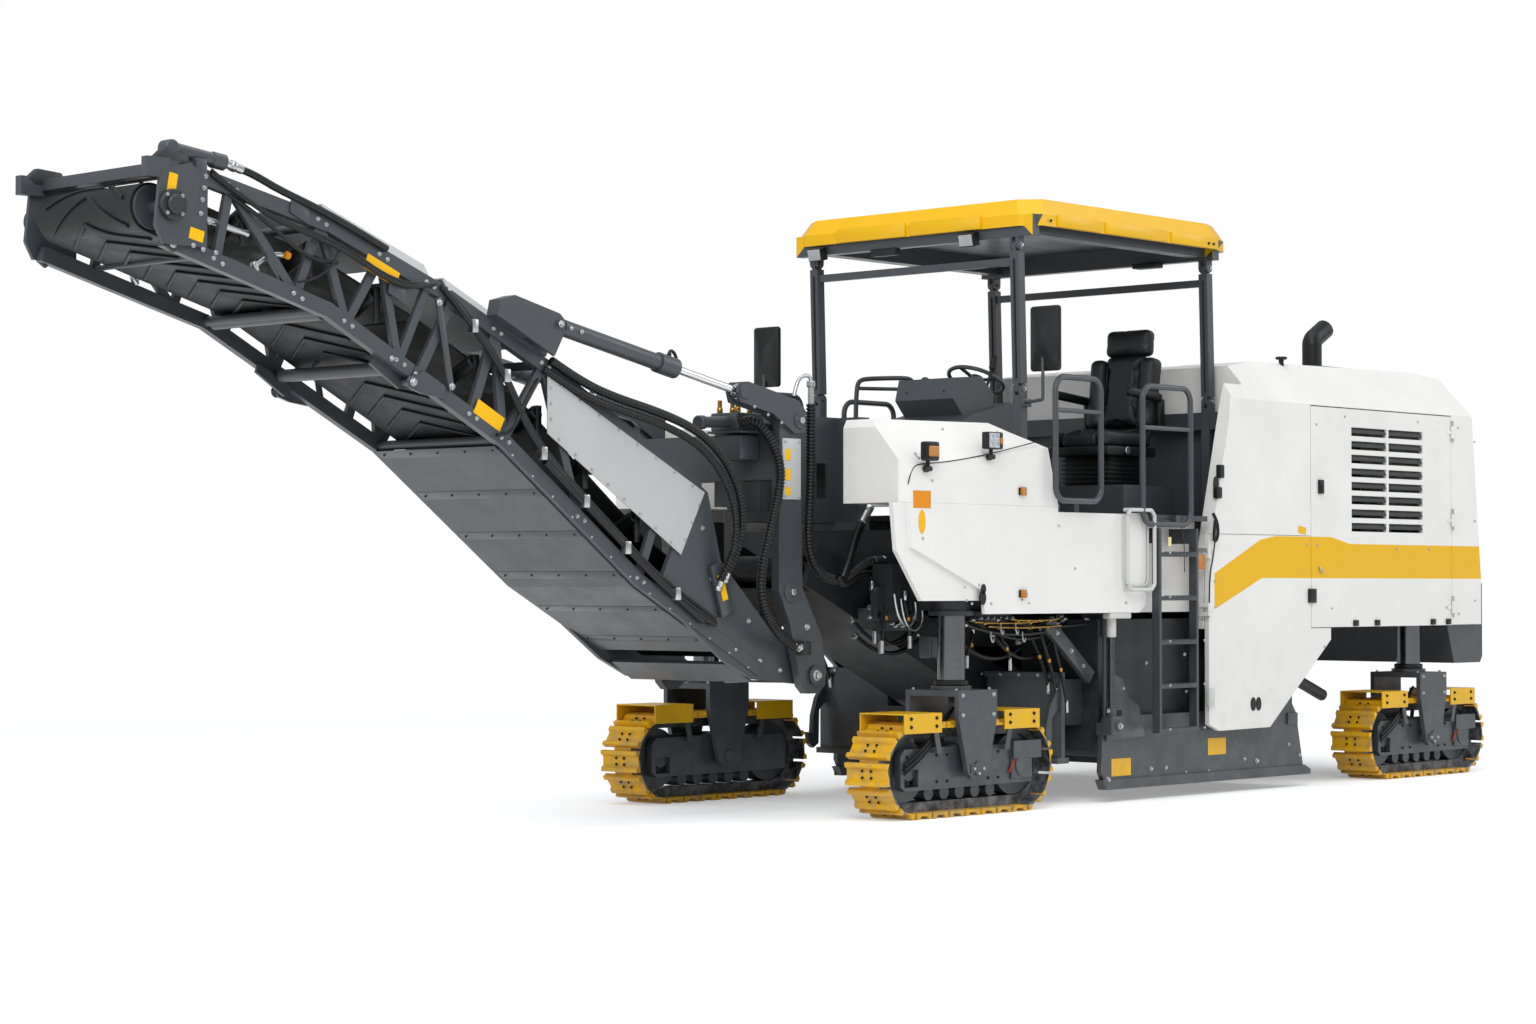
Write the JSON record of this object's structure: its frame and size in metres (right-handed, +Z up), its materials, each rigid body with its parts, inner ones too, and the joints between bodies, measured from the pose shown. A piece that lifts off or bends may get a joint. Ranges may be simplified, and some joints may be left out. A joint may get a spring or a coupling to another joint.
{
  "type": "cold planer milling machine",
  "caption": "Road milling machine on steered tracks with milling drum, slewing and folding discharge conveyor, operator's platform and folding canopy.",
  "frame": {"origin": "middle of the whole machine's length and width, on the ground", "axes": "+X forward towards the discharge conveyor, +Y to the machine's left, +Z up"},
  "size_m": [11.945, 2.6486, 3.905],
  "materials": {
    "white_paint": "satin paint",
    "yellow_paint": "satin paint",
    "dark_paint": "satin paint",
    "grey_metal": "satin",
    "steel": "brushed",
    "chrome": "polished",
    "rubber": "matt",
    "black_plastic": "matt",
    "amber": "gloss",
    "cast": "cast"
  },
  "bodies": {
    "chassis": {"main_frame": "dark_paint", "slew_bracket": "dark_paint", "drum_housing": "dark_paint", "loading_conveyor": "dark_paint", "loading_belt": "rubber", "hold_down": "dark_paint", "lift_cylinders": "dark_paint", "nose_hood": "white_paint", "front_panel_left": "white_paint", "front_panel_right": "white_paint", "platform": "dark_paint", "console": "dark_paint", "seat": "black_plastic", "rails": "dark_paint", "ladders": "dark_paint", "mirrors": "black_plastic", "lamps": "amber", "engine_hood": "white_paint", "engine_block": "cast", "tank": "black_plastic", "rear_bumper": "dark_paint", "exhaust": "steel"},
    "steered_leg_front_left": {"leg_front_left": "steel", "track_frame_front_left": "dark_paint", "track_front_left": "yellow_paint"},
    "steered_leg_front_right": {"leg_front_right": "steel", "track_frame_front_right": "dark_paint", "track_front_right": "yellow_paint"},
    "steered_leg_rear_left": {"leg_rear_left": "steel", "track_frame_rear_left": "dark_paint", "track_rear_left": "yellow_paint"},
    "steered_leg_rear_right": {"leg_rear_right": "steel", "track_frame_rear_right": "dark_paint", "track_rear_right": "yellow_paint"},
    "milling_drum": {"milling_drum": "cast"},
    "side_plate_left": {"side_plate_left": "dark_paint"},
    "side_plate_right": {"side_plate_right": "dark_paint"},
    "scraper": {"moldboard": "dark_paint"},
    "side_door_left": {"side_door_left": "white_paint"},
    "engine_door_left": {"engine_door_left": "white_paint"},
    "side_door_right": {"side_door_right": "white_paint"},
    "engine_door_right": {"engine_door_right": "white_paint"},
    "canopy_front": {"canopy_front_posts": "dark_paint"},
    "canopy_rear": {"canopy_rear_posts": "dark_paint"},
    "canopy_roof": {"canopy_roof": "yellow_paint"},
    "mast": {"mast": "dark_paint"},
    "conveyor_rear": {"conveyor_rear_frame": "dark_paint", "conveyor_belly": "grey_metal", "conveyor_sheets": "grey_metal", "conveyor_rear_belt": "rubber"},
    "luff_barrels": {"luff_barrels": "dark_paint"},
    "luff_rods": {"luff_rods": "chrome"},
    "conveyor_front": {"conveyor_front_frame": "dark_paint", "conveyor_front_belt": "rubber", "conveyor_front_cover": "grey_metal", "conveyor_head": "dark_paint"}
  },
  "joints": [
    {"name": "steer_front_left", "type": "hinge", "parent": "chassis", "child": "steered_leg_front_left", "pos_m": [0.27, 1.0475, 0.77], "axis": [0, 0, 1], "range_deg": [-25, 25]},
    {"name": "steer_front_right", "type": "hinge", "parent": "chassis", "child": "steered_leg_front_right", "pos_m": [0.27, -1.0475, 0.77], "axis": [0, 0, 1], "range_deg": [-25, 25]},
    {"name": "steer_rear_left", "type": "hinge", "parent": "chassis", "child": "steered_leg_rear_left", "pos_m": [-5.124, 1.0475, 0.77], "axis": [0, 0, 1], "range_deg": [-25, 25]},
    {"name": "steer_rear_right", "type": "hinge", "parent": "chassis", "child": "steered_leg_rear_right", "pos_m": [-5.124, -1.0475, 0.77], "axis": [0, 0, 1], "range_deg": [-25, 25]},
    {"name": "drum_spin", "type": "hinge", "parent": "chassis", "child": "milling_drum", "pos_m": [-2.33, 0, 0.62], "axis": [0, 1, 0], "continuous": true},
    {"name": "side_plate_lift_left", "type": "slide", "parent": "chassis", "child": "side_plate_left", "axis": [0, 0, 1], "range_m": [0, 0.25]},
    {"name": "side_plate_lift_right", "type": "slide", "parent": "chassis", "child": "side_plate_right", "axis": [0, 0, 1], "range_m": [0, 0.25]},
    {"name": "scraper_lift", "type": "slide", "parent": "chassis", "child": "scraper", "axis": [0, 0, 1], "range_m": [0, 0.25]},
    {"name": "side_door_hinge_left", "type": "hinge", "parent": "chassis", "child": "side_door_left", "pos_m": [-2.206, 1.264, 1.1], "axis": [0, 0, -1], "range_deg": [0, 95]},
    {"name": "engine_door_hinge_left", "type": "hinge", "parent": "chassis", "child": "engine_door_left", "pos_m": [-5.41, 1.264, 1.9], "axis": [0, 0, 1], "range_deg": [0, 110]},
    {"name": "side_door_hinge_right", "type": "hinge", "parent": "chassis", "child": "side_door_right", "pos_m": [-2.206, -1.264, 1.1], "axis": [0, 0, 1], "range_deg": [0, 95]},
    {"name": "engine_door_hinge_right", "type": "hinge", "parent": "chassis", "child": "engine_door_right", "pos_m": [-5.41, -1.264, 1.9], "axis": [0, 0, -1], "range_deg": [0, 110]},
    {"name": "canopy_fold", "type": "hinge", "parent": "chassis", "child": "canopy_front", "pos_m": [-0.66, 0, 2.68], "axis": [0, 1, 0], "range_deg": [0, 65]},
    {"name": "canopy_rear_swing", "type": "hinge", "parent": "chassis", "child": "canopy_rear", "pos_m": [-2.69, 0, 2.68], "axis": [0, 1, 0], "range_deg": [0, 65]},
    {"name": "canopy_roof_level", "type": "hinge", "parent": "canopy_front", "child": "canopy_roof", "pos_m": [-0.63, 0, 3.61], "axis": [0, 1, 0], "range_deg": [-65, 0]},
    {"name": "conveyor_slew", "type": "hinge", "parent": "chassis", "child": "mast", "pos_m": [1.02, 0, 2.1], "axis": [0, 0, 1], "range_deg": [-50, 50]},
    {"name": "conveyor_luff", "type": "hinge", "parent": "mast", "child": "conveyor_rear", "pos_m": [1.07, 0, 0.865], "axis": [0, 1, 0], "range_deg": [0, 18]},
    {"name": "luff_barrel_pivot", "type": "hinge", "parent": "conveyor_rear", "child": "luff_barrels", "pos_m": [3.227, 0, 2.87], "axis": [0, 1, 0], "range_deg": [0, 7]},
    {"name": "luff_rod_slide", "type": "slide", "parent": "luff_barrels", "child": "luff_rods", "axis": [-0.9802, 0, -0.198], "range_m": [0, 0.53]},
    {"name": "conveyor_fold", "type": "hinge", "parent": "conveyor_rear", "child": "conveyor_front", "pos_m": [4.25, 0, 2.498], "axis": [0, 1, 0], "range_deg": [0, 100]}
  ],
  "couplings": [
    {"joint": "steer_front_right", "follows": "steer_front_left", "ratio": 1},
    {"joint": "steer_rear_right", "follows": "steer_rear_left", "ratio": 1},
    {"joint": "canopy_rear_swing", "follows": "canopy_fold", "ratio": 1},
    {"joint": "canopy_roof_level", "follows": "canopy_fold", "ratio": -1},
    {"joint": "luff_barrel_pivot", "follows": "conveyor_luff", "ratio": 0.38},
    {"joint": "luff_rod_slide", "follows": "conveyor_luff", "m_per_rad": 1.675}
  ]
}
